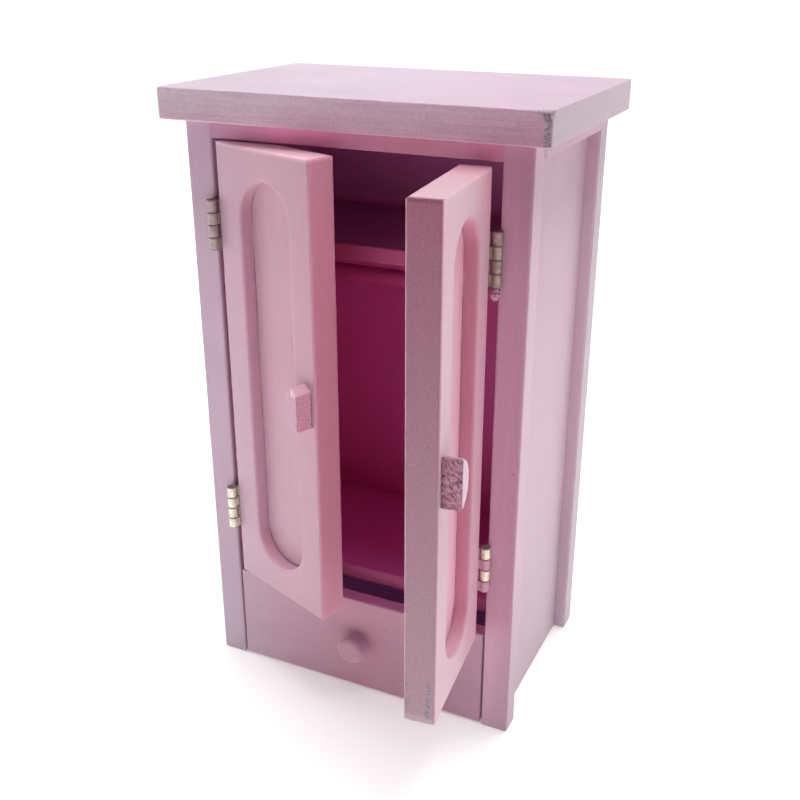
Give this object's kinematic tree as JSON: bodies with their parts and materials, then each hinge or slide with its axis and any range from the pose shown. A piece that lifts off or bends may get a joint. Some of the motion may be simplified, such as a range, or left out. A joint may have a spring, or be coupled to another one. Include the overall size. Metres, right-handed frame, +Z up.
{
  "type": "miniature wardrobe",
  "caption": "Dolls' house wardrobe in painted wood: two hinged doors with arched recessed panels, a hat shelf and clothes rail inside, and a drawer below under an overhanging top.",
  "frame": {"origin": "middle of the carcass's underside, on the bottom board; the open doors stand in front of it, at -Y", "axes": "+X to the right seen from the front, +Y from the front to the back, +Z up"},
  "size_m": [0.0784, 0.0797, 0.1294],
  "materials": {
    "pink_paint": "matt brushed pink paint over wood",
    "bare_wood": "unpainted sanded wood",
    "brass": "satin brass with traces of paint"
  },
  "bodies": {
    "carcass": {"back_panel": "pink_paint", "bottom_board": "pink_paint", "clothes_rail": "pink_paint", "floor_board": "pink_paint", "front_left_post": "pink_paint", "front_right_post": "pink_paint", "front_top_rail": "pink_paint", "hat_shelf": "pink_paint", "left_lower_hinge_pin": "brass", "left_lower_hinge_post_leaf": "brass", "left_lower_hinge_post_leaf_nail_high": "brass", "left_lower_hinge_post_leaf_nail_low": "brass", "left_side_panel": "pink_paint", "left_top_rail": "pink_paint", "left_upper_hinge_pin": "brass", "left_upper_hinge_post_leaf": "brass", "left_upper_hinge_post_leaf_nail_high": "brass", "left_upper_hinge_post_leaf_nail_low": "brass", "rear_left_post": "pink_paint", "rear_right_post": "pink_paint", "right_lower_hinge_pin": "brass", "right_lower_hinge_post_leaf": "brass", "right_lower_hinge_post_leaf_nail_high": "brass", "right_lower_hinge_post_leaf_nail_low": "brass", "right_side_panel": "pink_paint", "right_top_rail": "pink_paint", "right_upper_hinge_pin": "brass", "right_upper_hinge_post_leaf": "brass", "right_upper_hinge_post_leaf_nail_high": "brass", "right_upper_hinge_post_leaf_nail_low": "brass", "top_board": "pink_paint"},
    "left_door": {"left_door_frame": "pink_paint", "left_door_knob": "pink_paint", "left_door_panel": "pink_paint", "left_lower_hinge_door_leaf": "brass", "left_lower_hinge_door_leaf_nail_high": "brass", "left_lower_hinge_door_leaf_nail_low": "brass", "left_upper_hinge_door_leaf": "brass", "left_upper_hinge_door_leaf_nail_high": "brass", "left_upper_hinge_door_leaf_nail_low": "brass"},
    "right_door": {"right_door_frame": "pink_paint", "right_door_knob": "pink_paint", "right_door_panel": "pink_paint", "right_lower_hinge_door_leaf": "brass", "right_lower_hinge_door_leaf_nail_high": "brass", "right_lower_hinge_door_leaf_nail_low": "brass", "right_upper_hinge_door_leaf": "brass", "right_upper_hinge_door_leaf_nail_high": "brass", "right_upper_hinge_door_leaf_nail_low": "brass"},
    "drawer": {"drawer_back": "bare_wood", "drawer_bottom": "bare_wood", "drawer_front": "pink_paint", "drawer_knob": "pink_paint", "drawer_left_side": "bare_wood", "drawer_right_side": "bare_wood"}
  },
  "joints": [
    {"name": "left_door_hinge", "type": "hinge", "parent": "carcass", "child": "left_door", "pos_m": [-0.02985, -0.0246, 0.0715], "axis": [0, 0, -1], "range_deg": [-21, 149]},
    {"name": "right_door_hinge", "type": "hinge", "parent": "carcass", "child": "right_door", "pos_m": [0.02985, -0.0246, 0.0715], "axis": [0, 0, 1], "range_deg": [-96, 74]},
    {"name": "drawer_slide", "type": "slide", "parent": "carcass", "child": "drawer", "axis": [0, -1, 0], "range_m": [0, 0.026]}
  ]
}
